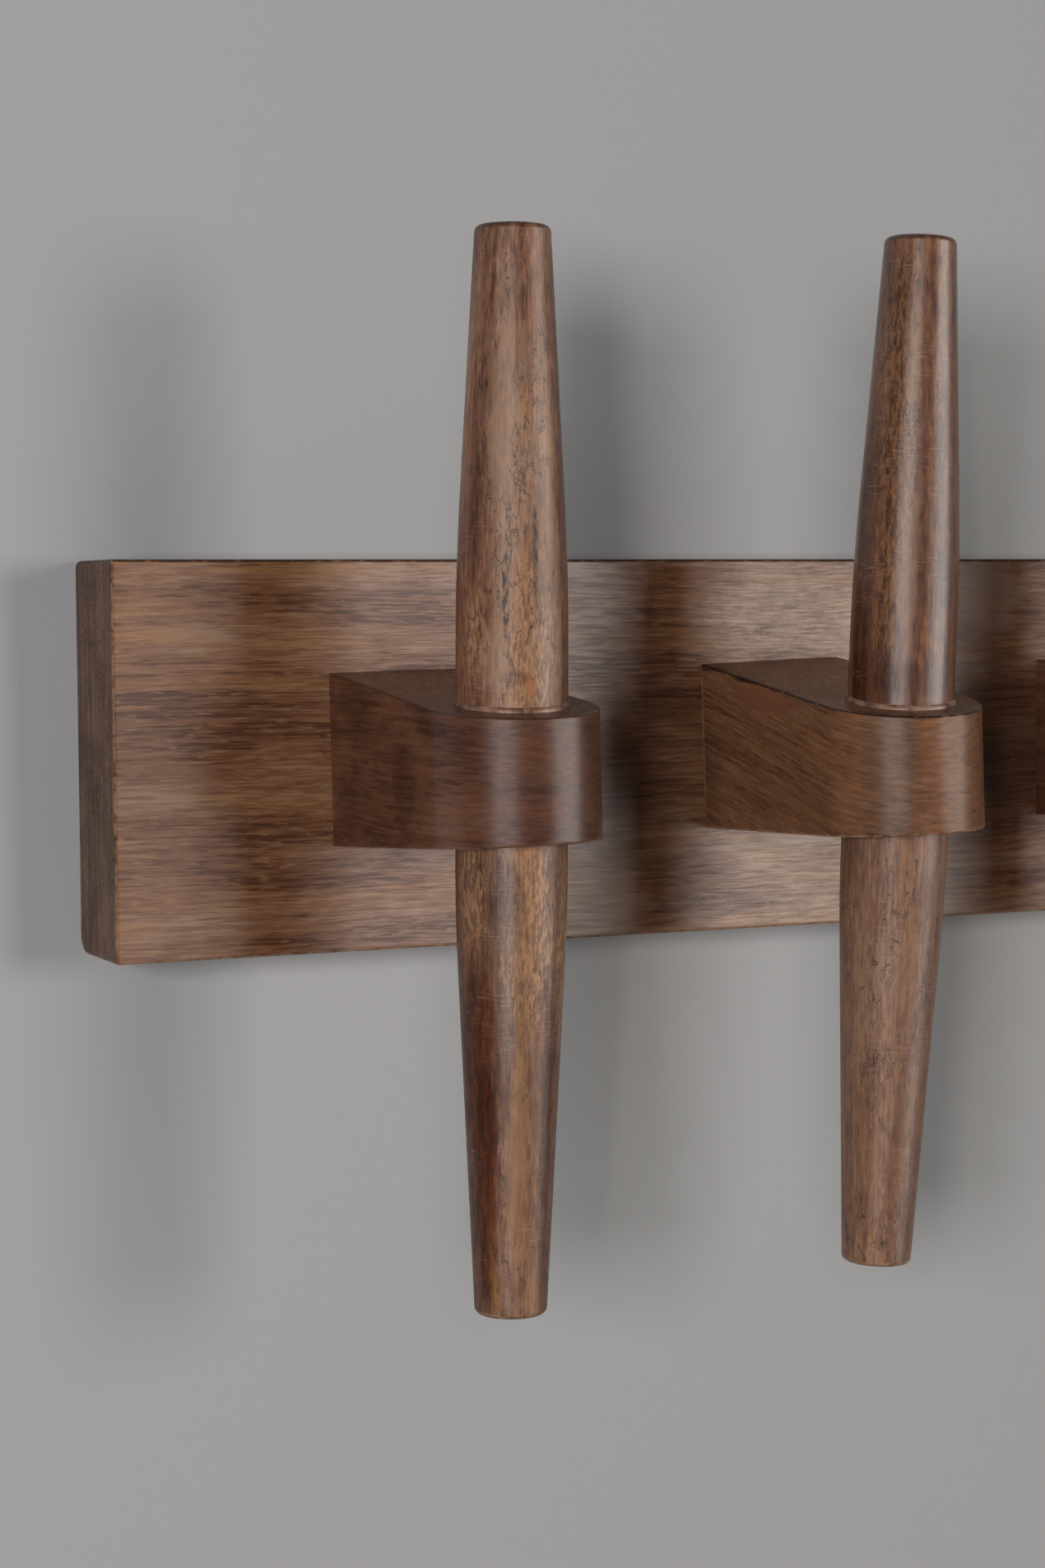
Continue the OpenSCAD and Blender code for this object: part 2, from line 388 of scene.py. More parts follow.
def timber_group():
    """Solid timber with its grain along X of the vector, which is in millimetres."""
    tree, given, result = new_group(
        "Timber",
        [
            ("Vector", "Vector", None),
            ("Dark", "Color", (0.06, 0.025, 0.013, 1)),
            ("Brown", "Color", (0.15, 0.068, 0.034, 1)),
            ("Pale", "Color", (0.25, 0.14, 0.08, 1)),
            ("Gold", "Color", (0.26, 0.125, 0.05, 1)),
            ("Bands", "Float", 0.3),
            ("Streaks", "Float", 0.3),
            ("Fibres", "Float", 0.4),
            ("Patches", "Float", 0.3),
            ("Mottle", "Float", 0.0),
            ("Pores", "Float", 0.4),
            ("Flecks", "Float", 0.3),
            ("Rough", "Float", 0.36),
        ],
        [("Color", "Color"), ("Roughness", "Float"), ("Height", "Float")],
    )
    vector = given.outputs["Vector"]
    wander = add(tree, "TexNoise", {"Vector": vector, "Scale": 0.02, "Detail": 1.0}).outputs["Color"]
    wander = vector_calc(tree, "SUBTRACT", wander, (0.5, 0.5, 0.5))
    wander = vector_calc(tree, "MULTIPLY", wander, (0.0, 2.5, 2.5))
    bent = vector_calc(tree, "ADD", vector, wander)

    # Each layer: what it follows, its length and width in millimetres, its detail and its spread
    figures = {
        "Bands": (bent, 160, 8, 2, 0.17),
        "Streaks": (bent, 34, 1.0, 3, 0.2),
        "Fibres": (bent, 8, 0.42, 2, 0.22),
        "Patches": (vector, 34, 15, 2, 0.18),
        "Mottle": (bent, 5, 1.5, 3, 0.2),
    }
    layers = {}
    tone = 0.5
    for name, (follows, length, width, detail, spread) in figures.items():
        layers[name] = centred(tree, stretched_noise(tree, follows, length, width, detail), spread)
        tone = calc(tree, "MULTIPLY_ADD", layers[name], given.outputs[name], tone)
    pores = remap(tree, stretched_noise(tree, bent, 4.5, 0.32, 1), 0.60, 0.68)
    flecks = remap(tree, stretched_noise(tree, bent, 5.0, 0.7, 1), 0.61, 0.68)
    hue = remap(tree, stretched_noise(tree, bent, 45, 3), 0.4, 0.62)

    color = blend(tree, remap(tree, tone, 0.1, 0.5), given.outputs["Dark"], given.outputs["Brown"])
    light = blend(tree, hue, given.outputs["Pale"], given.outputs["Gold"])
    color = blend(tree, remap(tree, tone, 0.45, 0.95), color, light)
    color = blend(tree, times(tree, flecks, given.outputs["Flecks"]), color, light)
    pore_mask = times(tree, pores, given.outputs["Pores"])
    color = blend(tree, pore_mask, color, given.outputs["Dark"])
    tree.links.new(color, result.inputs["Color"])

    rough = calc(tree, "MULTIPLY_ADD", layers["Patches"], -0.04, given.outputs["Rough"])
    rough = calc(tree, "MULTIPLY_ADD", layers["Fibres"], -0.08, rough)
    tree.links.new(calc(tree, "MULTIPLY_ADD", pore_mask, 0.2, rough), result.inputs["Roughness"])
    height = calc(tree, "MULTIPLY_ADD", layers["Fibres"], 0.3, times(tree, layers["Streaks"], 0.5))
    tree.links.new(calc(tree, "MULTIPLY_ADD", pore_mask, -0.6, height), result.inputs["Height"])
    return tree


def worn_and_shaded_edges_group():
    """Upper edges darker, part stain, part painted shade; others rubbed bare. The vector is in millimetres.

    An edge is known by its normal, which leans away from the faces beside it.
    """
    tree, given, result = new_group(
        "Worn and shaded edges",
        [
            ("Color", "Color", (0.1, 0.05, 0.03, 1)),
            ("Vector", "Vector", None),
            ("Stain and shade", "Color", (0.02, 0.01, 0.008, 1)),
            ("Bare", "Color", (0.3, 0.15, 0.07, 1)),
            ("Stain amount", "Float", 0.8),
            ("Rub", "Float", 0.5),
            ("Upright edges", "Float", 0.0),
        ],
        [("Color", "Color")],
    )
    normal = add(tree, "NewGeometry").outputs["Normal"]
    axis = add(tree, "SeparateXYZ", {0: normal})
    x, y, z = (calc(tree, "ABSOLUTE", axis.outputs[i]) for i in range(3))
    level = times(tree, remap(tree, z, 0.12, 0.35), remap(tree, z, 0.9, 0.985, 1.0, 0.0))
    upright = remap(tree, calc(tree, "MINIMUM", x, y), 0.2, 0.5)
    upright = times(tree, upright, given.outputs["Upright edges"])
    upward = calc(tree, "GREATER_THAN", axis.outputs[2], 0.1)
    breaks = noise(tree, given.outputs["Vector"], 0.35, 3.0)
    # Edges facing up darkened: partly gathered stain, partly painted shade, as they face away from the
    # lamps
    stained = times(tree, times(tree, level, upward), remap(tree, breaks, 0.3, 0.5))
    lower = times(tree, level, calc(tree, "SUBTRACT", 1.0, upward))
    rubbed = times(tree, calc(tree, "MAXIMUM", lower, upright), remap(tree, breaks, 0.36, 0.6))
    bare = times(tree, rubbed, given.outputs["Rub"])
    color = blend(tree, bare, given.outputs["Color"], given.outputs["Bare"])
    stain = times(tree, stained, given.outputs["Stain amount"])
    tree.links.new(blend(tree, stain, color, given.outputs["Stain and shade"]), result.inputs["Color"])
    return tree


def end_grain_group():
    """End grain, which drinks more stain. Along is the grain's direction, and rings are upright streaks."""
    tree, given, result = new_group(
        "End grain",
        [
            ("Color", "Color", (0.1, 0.05, 0.03, 1)),
            ("Vector", "Vector", None),
            ("Along", "Vector", (1.0, 0.0, 0.0)),
            ("Amount", "Float", 0.3),
            ("Rings", "Float", 0.0),
        ],
        [("Color", "Color")],
    )
    normal = add(tree, "NewGeometry").outputs["Normal"]
    facing = add(tree, "VectorMath", {0: normal, 1: given.outputs["Along"]}, operation="DOT_PRODUCT")
    mask = remap(tree, calc(tree, "ABSOLUTE", facing.outputs["Value"]), 0.3, 0.9)
    upright = vector_calc(tree, "MULTIPLY", given.outputs["Vector"], (1 / 8, 1 / 1.5, 1 / 50))
    rings = times(tree, centred(tree, noise(tree, upright, 1.0, 3.0), 0.15), given.outputs["Rings"])
    less = calc(tree, "SUBTRACT", given.outputs["Amount"], rings)
    keep = calc(tree, "SUBTRACT", 1.0, times(tree, mask, less))
    darker = add(tree, "VectorMath", {0: given.outputs["Color"], "Scale": keep}, operation="SCALE")
    tree.links.new(darker.outputs[0], result.inputs["Color"])
    return tree


def crackle_group():
    """Fine dark cracks in the finish, in patches, drawn out along X of the vector in millimetres."""
    tree, given, result = new_group(
        "Crackle", [("Vector", "Vector", None), ("Amount", "Float", 0.5)], [("Mask", "Float")]
    )
    vector = given.outputs["Vector"]
    shake = add(tree, "TexNoise", {"Vector": vector, "Scale": 0.9, "Detail": 2.0}).outputs["Color"]
    shaken = vector_calc(tree, "ADD", vector, vector_calc(tree, "MULTIPLY", shake, (2.0, 1.2, 1.2)))
    cells = vector_calc(tree, "MULTIPLY", shaken, (1 / 7, 1 / 1.3, 1 / 1.3))
    edge = add(tree, "TexVoronoi", {"Vector": cells, "Scale": 1.0}, feature="DISTANCE_TO_EDGE")
    lines = remap(tree, edge.outputs["Distance"], 0.01, 0.08, 1.0, 0.0)
    where = remap(tree, stretched_noise(tree, vector, 26, 8), 0.46, 0.60)
    breaks = remap(tree, stretched_noise(tree, vector, 9, 2.2), 0.42, 0.52)
    mask = times(tree, times(tree, lines, where), breaks)
    tree.links.new(times(tree, mask, given.outputs["Amount"]), result.inputs["Mask"])
    return tree


def turning_group():
    """Fine scratches that the turning left, across X of the vector, which is in millimetres."""
    tree, given, result = new_group(
        "Turning marks", [("Vector", "Vector", None), ("Amount", "Float", 0.5)], [("Mask", "Float")]
    )
    vector = given.outputs["Vector"]
    lines = remap(tree, stretched_noise(tree, vector, 0.4, 5, 1), 0.58, 0.70)
    where = remap(tree, stretched_noise(tree, vector, 16, 60), 0.46, 0.60)
    mask = times(tree, times(tree, lines, where), given.outputs["Amount"])
    tree.links.new(mask, result.inputs["Mask"])
    return tree


def patch_group():
    """One patch of stain or wear round a centre, in millimetres. Flake breaks it up into flakes."""
    tree, given, result = new_group(
        "Stain patch",
        [
            ("Vector", "Vector", None),
            ("Grain", "Vector", None),
            ("Centre", "Vector", None),
            ("Half size", "Vector", (5.0, 5.0, 5.0)),
            ("Amount", "Float", 0.5),
            ("Flake", "Float", 0.0),
        ],
        [("Mask", "Float")],
    )
    off = vector_calc(tree, "SUBTRACT", given.outputs["Vector"], given.outputs["Centre"])
    off = vector_calc(tree, "DIVIDE", off, given.outputs["Half size"])
    away = add(tree, "VectorMath", {0: off}, operation="LENGTH").outputs["Value"]
    ragged = stretched_noise(tree, given.outputs["Grain"], 12, 2, 3)
    mask = remap(tree, calc(tree, "MULTIPLY_ADD", ragged, 1.2, away), 1.2, 1.9, 1.0, 0.0)
    flakes = stretched_noise(tree, given.outputs["Grain"], 3.4, 1.0, 4, 0.65)
    flakes = remap(tree, flakes, 0.45, 0.58, 0.1, 1.0)
    solid = calc(tree, "SUBTRACT", 1.0, given.outputs["Flake"])
    flakes = calc(tree, "MULTIPLY_ADD", flakes, given.outputs["Flake"], solid)
    mask = times(tree, times(tree, mask, flakes), given.outputs["Amount"])
    tree.links.new(mask, result.inputs["Mask"])
    return tree


def planed_group():
    """Planed top and underside: how far a surface faces straight up or down."""
    tree, given, result = new_group("Planed", [("Amount", "Float", 0.8)], [("Mask", "Float")])
    up = add(tree, "SeparateXYZ", {0: add(tree, "NewGeometry").outputs["Normal"]}).outputs[2]
    mask = remap(tree, calc(tree, "ABSOLUTE", up), 0.85, 0.97)
    tree.links.new(times(tree, mask, given.outputs["Amount"]), result.inputs["Mask"])
    return tree


TIMBER = timber_group()
WORN_AND_SHADED_EDGES = worn_and_shaded_edges_group()
END_GRAIN = end_grain_group()
CRACKLE = crackle_group()
TURNING = turning_group()
PATCH = patch_group()
PLANED = planed_group()


def rgba(color):
    return (*color, 1.0)


def new_material(name):
    material = bpy.data.materials.new(name)
    material.use_nodes = True
    material.node_tree.nodes.clear()
    return material, material.node_tree


def finish_material(tree, shader):
    output = tree.nodes.new("ShaderNodeOutputMaterial")
    tree.links.new(shader.outputs[0], output.inputs["Surface"])


# Millimetres from one plank number to the next. The board is plank 0, and brackets and pegs follow
PLANK_STEP = (37.0, 190.0, 71.0)
FIRST_PEG_PLANK = 10

# Heights in the timber's surface: a crack goes in, and a turning mark stands out
TIMBER_BUMP = 0.15 * MM
CRACK_HEIGHT = -0.8
TURNING_HEIGHT = 0.5

# Thicker lacquer
FILM_ROUGH = 0.28
FILM_IOR = 1.6


def own_place(tree, middle, lean):
    """Millimetres from the middle of a piece, turned with its lean."""
    place = add(tree, "TexCoord").outputs["Object"]
    moved = {"Vector": place, "Location": middle, "Rotation": (0, lean, 0), "Scale": (MM, MM, MM)}
    return add(tree, "Mapping", moved, vector_type="TEXTURE").outputs[0]


def grain_place(tree, look, own, plank):
    """The same place with X along the grain. Each plank number is another part of the timber."""
    moved = {"Vector": own, "Location": [plank * step for step in PLANK_STEP], "Rotation": look["turn"]}
    lay = add(tree, "Mapping", moved, vector_type="POINT").outputs[0]
    return vector_calc(tree, "MULTIPLY", lay, look.get("squeeze", (1.0, 1.0, 1.0)))


def lay_timber(tree, look, lay):
    """Bare timber: its colour, height and roughness."""
    values = {key: rgba(look[key]) for key in ("Dark", "Brown", "Pale", "Gold")}
    for key in ("Bands", "Streaks", "Fibres", "Patches", "Mottle", "Pores", "Flecks", "Rough"):
        values[key] = look[key]
    bare = use(tree, TIMBER, {"Vector": lay, **values}).outputs
    return bare["Color"], bare["Height"], bare["Roughness"]


def lay_stains_and_painted_light(tree, look, own, lay, color):
    # The patches include painted shade and painted light as well as stains
    for kind, centre, size, amount, tint in look["stains"]:
        flake = 1.0 if kind == "flakes" else 0.0
        patch = {"Vector": own, "Grain": lay, "Centre": centre, "Half size": size, "Amount": amount}
        mask = use(tree, PATCH, {**patch, "Flake": flake}).outputs[0]
        color = blend(tree, mask, color, rgba(tint), "MULTIPLY" if kind == "glaze" else "MIX")
    return color


def lay_marks(tree, look, lay, color, height):
    """Cracks in the finish, and scratches from the turning."""
    if look.get("crackle"):
        cracks = use(tree, CRACKLE, {"Vector": lay, "Amount": look["crackle"]}).outputs[0]
        color = blend(tree, cracks, color, rgba(look["Stain and shade"]))
        height = calc(tree, "MULTIPLY_ADD", cracks, CRACK_HEIGHT, height)
    if look.get("turning"):
        marks = use(tree, TURNING, {"Vector": lay, "Amount": look["turning"]}).outputs[0]
        color = blend(tree, marks, color, rgba(look["Pale"]))
        height = calc(tree, "MULTIPLY_ADD", marks, TURNING_HEIGHT, height)
    return color, height


def lay_wear_and_edge_shade(tree, look, own, color):
    """Darker end grain, upper edges darker by stain and painted shade, and other edges bare timber."""
    ends = {"Along": look["along"], "Amount": look["end_stain"], "Rings": look.get("rings", 0.0)}
    color = use(tree, END_GRAIN, {"Color": color, "Vector": own, **ends}).outputs[0]
    edges = {"Stain and shade": rgba(look["Stain and shade"]), "Bare": rgba(look["Bare"]), "Stain amount": look["line"]}
    rub = {"Rub": look["rub"], "Upright edges": look.get("upright", 0.0)}
    return use(tree, WORN_AND_SHADED_EDGES, {"Color": color, "Vector": own, **edges, **rub}).outputs["Color"]


def lay_films(tree, look, own, lay, shader):
    """Patches of thicker lacquer, which is clear and glossy."""
    film = 0.0
    for centre, size, amount in look["films"]:
        patch = {"Vector": own, "Grain": lay, "Centre": centre, "Half size": size, "Amount": amount}
        film = calc(tree, "MAXIMUM", film, use(tree, PATCH, patch).outputs[0])
    fill(tree, shader, {"Coat Weight": film, "Coat Roughness": FILM_ROUGH, "Coat IOR": FILM_IOR})


def timber_material(name, look, middle=(0, 0, 0), lean=0.0, plank=0):
    """Stained timber under satin lacquer, for a piece that leans about its middle."""
    material, tree = new_material(name)
    own = own_place(tree, middle, lean)
    lay = grain_place(tree, look, own, plank)
    color, height, rough = lay_timber(tree, look, lay)
    if look.get("planed"):
        planed = use(tree, PLANED, {"Amount": look["planed"]}).outputs[0]
        color = blend(tree, planed, color, rgba(look["Brown"]))
        height = times(tree, height, calc(tree, "SUBTRACT", 1.0, planed))
    color = lay_stains_and_painted_light(tree, look, own, lay, color)
    color, height = lay_marks(tree, look, lay, color, height)
    color = lay_wear_and_edge_shade(tree, look, own, color)
    bump = add(tree, "Bump", {"Height": height, "Strength": look["bump"], "Distance": TIMBER_BUMP})
    values = {"Base Color": color, "Roughness": rough, "Specular IOR Level": look["gloss"]}
    shader = add(tree, "BsdfPrincipled", {**values, "Normal": bump.outputs["Normal"]})
    if look.get("films"):
        lay_films(tree, look, own, lay, shader)
    finish_material(tree, shader)
    return material


# How the grain lies in each kind of piece
ALONG_BOARD = (0, 0, 0)
ALONG_PEG = (0, math.pi / 2, 0)
ALONG_BRACKET = (0, 0, math.pi / 2)

BOARD_LOOK = {
    "turn": ALONG_BOARD, "squeeze": (0.75, 0.7, 0.7), "along": (1, 0, 0), "end_stain": 0.38, "rings": 0.5,
    "Dark": (0.06, 0.023, 0.011), "Brown": (0.134, 0.057, 0.027), "Pale": (0.2, 0.113, 0.067),
    "Gold": (0.21, 0.102, 0.043),
    "Bands": 0.34, "Streaks": 0.36, "Fibres": 0.4, "Patches": 0.24, "Mottle": 0.12,
    "Pores": 0.15, "Flecks": 0.5, "Rough": 0.4,
    "Stain and shade": (0.025, 0.012, 0.009), "Bare": (0.27, 0.16, 0.105),
    "line": 0.85, "rub": 0.55, "upright": 1.0, "gloss": 0.36, "bump": 0.2,
}

# Brackets of two kinds of timber: a deep red-brown one, and a lighter, more orange one with tilted grain
LIGHT_TILT = math.radians(-13)
DEEP_BRACKET_LOOK = {
    "turn": ALONG_BRACKET, "squeeze": (1.0, 0.15, 1.0), "along": (0, 1, 0), "end_stain": 0.26,
    "Dark": (0.05, 0.019, 0.011), "Brown": (0.09, 0.036, 0.02), "Pale": (0.125, 0.057, 0.035),
    "Gold": (0.135, 0.052, 0.025),
    "Bands": 0.25, "Streaks": 0.45, "Fibres": 0.35, "Patches": 0.4, "Mottle": 0.15,
    "Pores": 0.3, "Flecks": 0.15, "Rough": 0.3,
    "Stain and shade": (0.02, 0.01, 0.008), "Bare": (0.18, 0.08, 0.04),
    "line": 0.5, "rub": 0.4, "gloss": 0.38, "bump": 0.06, "planed": 0.97,
}
LIGHT_BRACKET_LOOK = {
    **DEEP_BRACKET_LOOK,
    "turn": (LIGHT_TILT, 0, math.pi / 2), "end_stain": 0.02,
    "Dark": (0.068, 0.028, 0.014), "Brown": (0.124, 0.054, 0.027), "Pale": (0.172, 0.09, 0.052),
    "Gold": (0.19, 0.086, 0.038),
    "Bands": 0.12, "Streaks": 0.4, "Patches": 0.2, "Flecks": 0.3,
    "Bare": (0.3, 0.15, 0.07), "line": 0.9, "rub": 0.6, "gloss": 0.26,
}

PEG_LOOK = {
    "turn": ALONG_PEG, "along": (0, 0, 1), "end_stain": 0.3,
    "Dark": (0.065, 0.026, 0.014), "Brown": (0.145, 0.066, 0.038), "Pale": (0.235, 0.135, 0.09),
    "Gold": (0.25, 0.12, 0.05),
    "Bands": 0.45, "Streaks": 0.3, "Fibres": 0.25, "Patches": 0.25, "Mottle": 0.4,
    "Pores": 0.5, "Flecks": 0.3, "Rough": 0.38,
    "Stain and shade": (0.025, 0.013, 0.01), "Bare": (0.32, 0.19, 0.11),
    "line": 0.6, "rub": 0.5, "gloss": 0.3, "bump": 0.25, "crackle": 0.75, "turning": 0.4,
}

BLACKISH = (0.015, 0.009, 0.007)
RED_STAIN = (0.13, 0.045, 0.024)
ORANGE = (0.25, 0.09, 0.032)
GOLDEN = (0.3, 0.165, 0.08)
# Pale worn film; on the upper pegs it is also painted light, laid under their highlights
PALE_FILM_AND_PAINTED_LIGHT = (0.25, 0.16, 0.108)
MATT_BROWN = (0.165, 0.096, 0.063)
PALE_FLECK = (0.34, 0.24, 0.15)

# Factors of clear stains that let the grain show through, and of painted shade
DEEP = (0.55, 0.54, 0.56)
DEEP_RED = (0.52, 0.38, 0.32)
WARM_RED = (0.72, 0.46, 0.27)
# Painted shade, which dims the pegs under their brightest highlights
PAINTED_SHADE = (0.75, 0.73, 0.74)

# Stains, painted shade and light: kind, centre and half size in mm, strength and colour. A glaze multiplies
# the colour of the timber below it. On the board they are measured from the middle of its back
BOARD_STAINS_AND_PAINTED_LIGHT = (
    # Painted shade: the four glazes below darken the board where the pegs and brackets cast shadows
    ("glaze", (-158, -38, -46), (18, 6, 16), 0.9, (0.64, 0.62, 0.58)),
    ("glaze", (-164, -38, 14), (18, 6, 8), 0.9, (0.6, 0.56, 0.5)),
    ("glaze", (-204, -38, 44), (12, 6, 18), 0.8, (0.82, 0.84, 0.82)),
    ("glaze", (-38, -38, 2), (24, 6, 28), 0.9, (0.58, 0.54, 0.5)),
    # Painted light: the two pale covers below lighten the board in the shadows right of bracket 1 and peg 2
    ("cover", (-190, -38, -48), (16, 6, 14), 0.6, (0.24, 0.145, 0.09)),
    ("cover", (-44, -38, 48), (12, 6, 14), 0.6, (0.26, 0.16, 0.11)),
    ("glaze", (-122, -38, 0), (40, 6, 70), 0.9, (0.92, 0.97, 0.93)),
    ("flakes", (-122, -38, 43), (34, 6, 14), 0.2, PALE_FLECK),
    ("flakes", (-128, -38, -46), (34, 6, 12), 0.1, PALE_FLECK),
)

# On a bracket they are measured from the middle of its root
BRACKET_STAINS_AND_PAINTED_LIGHT = {
    1: (
        ("glaze", (-25.5, -22, 17), (4, 14, 7), 0.8, DEEP),
        ("glaze", (-25.5, -58, -6), (4, 9, 15), 0.7, DEEP),
        ("glaze", (-22, -80, 14), (9, 12, 8), 0.7, DEEP),
        ("glaze", (-25.5, -12, -14), (4, 10, 8), 0.5, DEEP),
    ),
    2: (
        ("cover", (-25.5, -14, 25.2), (3, 14, 1.2), 0.9, BLACKISH),
        ("cover", (-25.5, -34, 22.4), (3, 14, 1.8), 0.95, BLACKISH),
        ("cover", (-25.5, -54, 19.6), (3, 12, 1.2), 0.8, BLACKISH),
        ("cover", (-25.5, -44, 16), (4, 16, 5), 0.6, RED_STAIN),
        ("cover", (-25.5, 0, 0), (2, 0.8, 26), 0.6, PALE_FILM_AND_PAINTED_LIGHT),
        # Painted reflection: darker and bluer under the nose's left highlight, which makes that highlight
        # grey
        ("glaze", (-14.6, -98, 0), (8, 9, 50), 0.9, (0.72, 0.8, 0.9)),
    ),
}

# On a peg they are measured from its middle
WORN_PEG_PAINTED_LIGHT = (
    ("glaze", (-15.5, -3, 60), (4, 6, 80), 0.9, (0.72, 0.58, 0.53)),
    # Painted light: the two pale covers below brighten the upper peg under its left and right highlights
    ("cover", (-8, -13.8, 100), (6, 7, 62), 0.45, PALE_FILM_AND_PAINTED_LIGHT),
    ("cover", (3, -15, 90), (5, 7, 70), 0.3, PALE_FILM_AND_PAINTED_LIGHT),
    ("flakes", (-1.6, -15.9, 36), (9, 9, 30), 0.75, GOLDEN),
    ("flakes", (-14.2, -7.4, 40), (3.5, 6, 13), 0.7, GOLDEN),
    ("cover", (-10.8, -11.8, 32), (3.5, 5, 10), 0.4, PALE_FILM_AND_PAINTED_LIGHT),
    ("glaze", (-6, -15, 27.5), (4, 4, 2.2), 0.8, DEEP),
    ("flakes", (-8.1, -13.8, 48), (1.0, 3, 18), 0.95, BLACKISH),
    ("flakes", (-7.2, -14.2, 66), (0.8, 3, 12), 0.8, BLACKISH),
    ("flakes", (0.2, -16, 62), (0.9, 3, 15), 0.9, BLACKISH),
    ("cover", (-1.3, -16, 25.5), (1.6, 4, 3), 0.85, ORANGE),
    # Darker over the lower half, below the bracket
    ("glaze", (0, 0, -100), (60, 60, 70), 0.95, (0.74, 0.72, 0.7)),
    ("glaze", (-9.3, -13, -60), (4.5, 6, 50), 0.9, (0.7, 0.7, 0.72)),
    ("flakes", (-1.5, -15.8, -44), (8, 9, 28), 0.9, GOLDEN),
    ("flakes", (-15, -5.5, -34), (4, 6, 18), 0.6, GOLDEN),
    ("glaze", (-14, -7, -84), (5, 9, 34), 1.0, WARM_RED),
    ("glaze", (-10.4, -6.5, -115), (2.5, 4, 45), 1.0, WARM_RED),
    ("glaze", (-1.3, -13.5, -90), (1.3, 4, 20), 0.3, DEEP),
    # Darker just below the bracket
    ("glaze", (-8, -13.8, -34), (5.5, 5, 9), 0.9, DEEP),
    # Painted shade: dims the lower peg under its left highlight
    ("glaze", (-6.5, -14.5, -52), (5, 5, 32), 0.9, PAINTED_SHADE),
    ("cover", (-3.5, -12.2, -108), (3, 4, 40), 0.4, GOLDEN),
    ("flakes", (11.5, -10, -48), (4, 6, 28), 0.9, GOLDEN),
    ("glaze", (5.4, -12.5, -112), (2.4, 5, 48), 0.8, DEEP),
)
GLOSSY_PEG_PAINTED_LIGHT = (
    ("glaze", (0, 0, 84), (60, 60, 92), 1.0, (0.64, 0.55, 0.47)),
    ("flakes", (-12.5, -8, 95), (6, 8, 80), 0.6, (0.22, 0.1, 0.04)),
    ("glaze", (-16, -2, 60), (3.5, 5, 90), 0.8, DEEP_RED),
    ("glaze", (-4.9, -15.2, 70), (2, 5, 70), 0.8, (0.7, 0.6, 0.6)),
    ("glaze", (-14, -6, 20), (5, 8, 16), 0.8, DEEP_RED),
    ("cover", (0, 0, -85), (60, 60, 85), 0.4, MATT_BROWN),
    ("glaze", (2, -15, -40), (3, 5, 12), 0.5, DEEP_RED),
    # Painted shade: dims the lower peg under its right highlight
    ("glaze", (4, -13.5, -90), (7, 7, 80), 0.9, PAINTED_SHADE),
    # Painted light and shade on the upper peg: paler under its left highlight, darker under its right one
    ("cover", (-8.4, -13.6, 90), (4, 5, 75), 0.3, PALE_FILM_AND_PAINTED_LIGHT),
    ("glaze", (4, -15.5, 90), (5, 5, 75), 0.6, PAINTED_SHADE),
    ("glaze", (-6, -14.5, 25), (14, 10, 5), 0.7, DEEP_RED),
)
TURNED_WIDTH = 8

# Films: centre and half size in millimetres, and strength
WORN_FILM = (
    ((-9, -13, -45), (7, 8, 50), 0.3),
    ((0, 0, 60), (60, 60, 110), 0.12),
)
GLOSSY_FILM = (((0, 0, 84), (60, 60, 100), 0.6),)

GLOSSY_FINISH = {"Streaks": 0.32, "Mottle": 0.5, "turning": 0.5}


def turned_about(stains, angle):
    """The same wear and painted light on another side of a peg, each patch as wide as it is deep."""
    turn = Matrix.Rotation(math.radians(angle), 3, "Z")
    moved = []
    for kind, centre, size, *rest in stains:
        moved.append((kind, turn @ Vector(centre), (TURNED_WIDTH, TURNED_WIDTH, size[2]), *rest))
    return moved


# Each peg's stains and painted light, films and finish. Pegs 3 and 4 have parts of the worn peg's marks
PEG_MARKS_AND_PAINTED_LIGHT = {
    1: (WORN_PEG_PAINTED_LIGHT, WORN_FILM, {}),
    2: (GLOSSY_PEG_PAINTED_LIGHT, GLOSSY_FILM, GLOSSY_FINISH),
    3: (turned_about(WORN_PEG_PAINTED_LIGHT[:1] + WORN_PEG_PAINTED_LIGHT[3:5] + WORN_PEG_PAINTED_LIGHT[11:16], 160), WORN_FILM[1:], {}),
    4: (turned_about(WORN_PEG_PAINTED_LIGHT[:2] + WORN_PEG_PAINTED_LIGHT[12:17], 250), WORN_FILM[1:], {}),
    5: (turned_about(GLOSSY_PEG_PAINTED_LIGHT, 70), GLOSSY_FILM, GLOSSY_FINISH),
}


def steel_material():
    """Zinc plated steel with fine lines along the screw."""
    material, tree = new_material("zinc plated steel")
    place = add(tree, "TexCoord").outputs["Object"]
    drawn = add(tree, "Mapping", {"Vector": place, "Scale": (4000, 600, 4000)}).outputs[0]
    lines = noise(tree, drawn, 1.0)
    cloud = noise(tree, place, 900.0)
    bump = add(tree, "Bump", {"Height": lines, "Strength": 0.3, "Distance": 0.05 * MM})
    shader = add(
        tree,
        "BsdfPrincipled",
        {
            "Base Color": blend(tree, cloud, (0.5, 0.5, 0.47, 1), (0.68, 0.67, 0.62, 1)),
            "Roughness": remap(tree, lines, 0.3, 0.7, 0.22, 0.42),
            "Metallic": 1.0,
            "Normal": bump.outputs["Normal"],
        },
    )
    finish_material(tree, shader)
    return material


